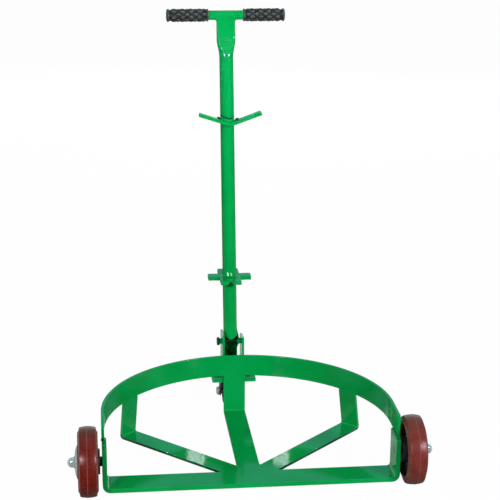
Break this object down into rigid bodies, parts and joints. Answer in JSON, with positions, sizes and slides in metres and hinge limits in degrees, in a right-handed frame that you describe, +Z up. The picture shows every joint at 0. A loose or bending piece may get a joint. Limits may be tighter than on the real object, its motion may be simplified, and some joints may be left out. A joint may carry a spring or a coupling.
{
  "type": "drum trolley",
  "caption": "Low drum trolley: a half ring and strap deck on fixed front wheels and a rear swivel caster, with a folding T handle that carries a bung-wrench plate.",
  "frame": {"origin": "middle of the footprint, on the floor under the wheels", "axes": "+Z up, -Y towards the open front where the drum goes in, +X across the trolley"},
  "size_m": [0.777, 0.6486, 0.9437],
  "materials": {
    "green_paint": "glossy powder coat",
    "red_tyre": "satin maroon polyurethane",
    "black_core": "satin moulded",
    "zinc": "bright zinc plate",
    "chrome": "polished",
    "steel": "turned",
    "bronze": "sintered",
    "black_paint": "satin black",
    "grey_tyre": "satin grey rubber",
    "black_rubber": "matte moulded knobs"
  },
  "bodies": {
    "frame": {"base_bar": "green_paint", "ring_band": "green_paint", "centre_strap": "green_paint", "left_diagonal_strap": "green_paint", "right_diagonal_strap": "green_paint", "caster_mount_plate": "green_paint", "left_ear": "green_paint", "right_ear": "green_paint", "handle_stop": "green_paint", "left_axle": "steel", "right_axle": "steel", "left_axle_spacer": "black_paint", "right_axle_spacer": "black_paint", "left_hub_washer": "zinc", "right_hub_washer": "zinc", "left_axle_cap": "chrome", "right_axle_cap": "chrome", "caster_top_plate": "black_paint", "caster_race": "zinc", "caster_kingpin": "zinc", "caster_bolts": "zinc", "caster_nuts": "zinc", "pivot_bolt": "black_paint", "pivot_collar": "green_paint", "pivot_spacer": "green_paint"},
    "left_wheel": {"left_tyre": "red_tyre", "left_wheel_core": "black_core", "left_wheel_bushes": "bronze", "left_hub_cover": "zinc"},
    "right_wheel": {"right_tyre": "red_tyre", "right_wheel_core": "black_core", "right_wheel_bushes": "bronze", "right_hub_cover": "zinc"},
    "caster_swivel": {"caster_fork": "black_paint", "caster_axle_bolt": "zinc", "caster_axle_nut": "zinc", "caster_wheel_spacers": "zinc"},
    "caster_wheel": {"caster_tyre": "grey_tyre", "caster_core": "black_core", "caster_bush": "bronze"},
    "handle": {"handle_tube": "green_paint", "grip_bar": "green_paint", "left_grip": "black_rubber", "right_grip": "black_rubber", "v_bar": "green_paint", "wrench_plate": "green_paint"}
  },
  "joints": [
    {"name": "left_wheel_roll", "type": "hinge", "parent": "frame", "child": "left_wheel", "pos_m": [-0.34545, -0.24929, 0.075], "axis": [1, 0, 0], "continuous": true},
    {"name": "right_wheel_roll", "type": "hinge", "parent": "frame", "child": "right_wheel", "pos_m": [0.34545, -0.24929, 0.075], "axis": [1, 0, 0], "continuous": true},
    {"name": "caster_turn", "type": "hinge", "parent": "frame", "child": "caster_swivel", "pos_m": [0, 0.20069, 0.078], "axis": [0, 0, 1], "continuous": true},
    {"name": "caster_roll", "type": "hinge", "parent": "caster_swivel", "child": "caster_wheel", "pos_m": [0, 0.22568, 0.034], "axis": [1, 0, 0], "continuous": true},
    {"name": "handle_fold", "type": "hinge", "parent": "frame", "child": "handle", "pos_m": [-0.006, 0.17671, 0.1785], "axis": [1, 0, 0], "range_deg": [0, 96]}
  ]
}
